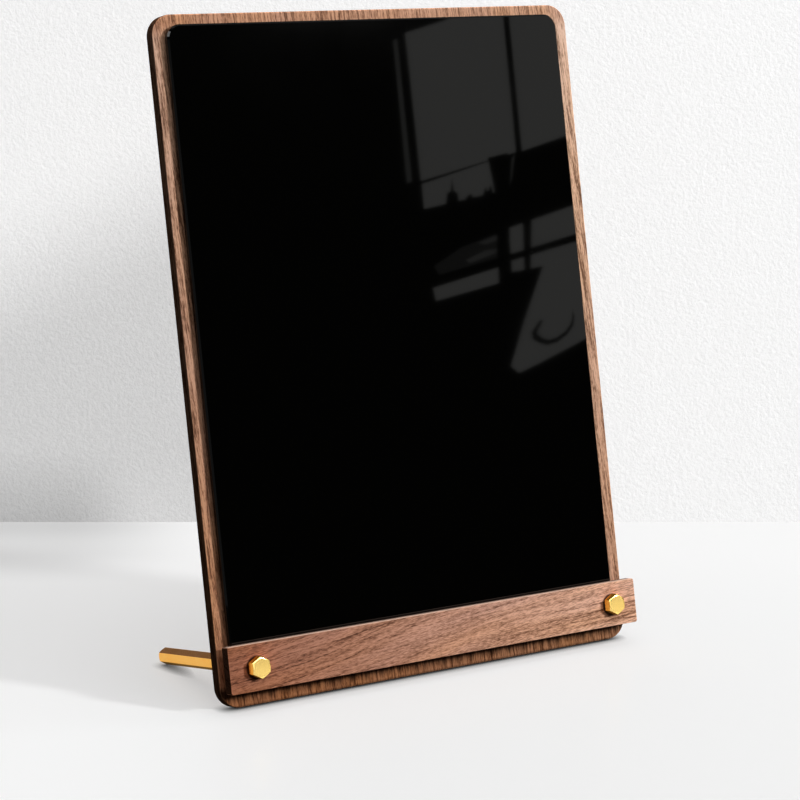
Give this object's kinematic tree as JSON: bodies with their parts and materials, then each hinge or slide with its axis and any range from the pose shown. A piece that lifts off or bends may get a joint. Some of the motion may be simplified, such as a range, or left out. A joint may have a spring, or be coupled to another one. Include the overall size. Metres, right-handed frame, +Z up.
{
  "type": "tabletop chalkboard",
  "caption": "Leaning tabletop chalkboard: black glass panel in the slot of a walnut board and rail, on brass hexagonal legs screwed to brass bolts.",
  "frame": {"origin": "on the table, under the middle of the outer box", "axes": "+Z up; the writing side faces -Y and leans back; the legs reach to +Y; +X to the right as seen from the front"},
  "size_m": [0.254, 0.1072, 0.3448],
  "materials": {
    "walnut": "satin oiled",
    "rail_walnut": "satin oiled",
    "black_glass": "polished, black all through",
    "brass": "polished"
  },
  "bodies": {
    "stand": {"backboard": "walnut", "front_rail": "rail_walnut", "ledge_strip": "walnut", "hex_bolt_left": "brass", "hex_bolt_right": "brass", "leg_left": "brass", "leg_right": "brass"},
    "glass": {"chalkboard_glass": "black_glass"}
  },
  "joints": [
    {"name": "glass_lift", "type": "slide", "parent": "stand", "child": "glass", "axis": [0, 0.1875, 0.9823], "range_m": [0, 0.01]}
  ]
}
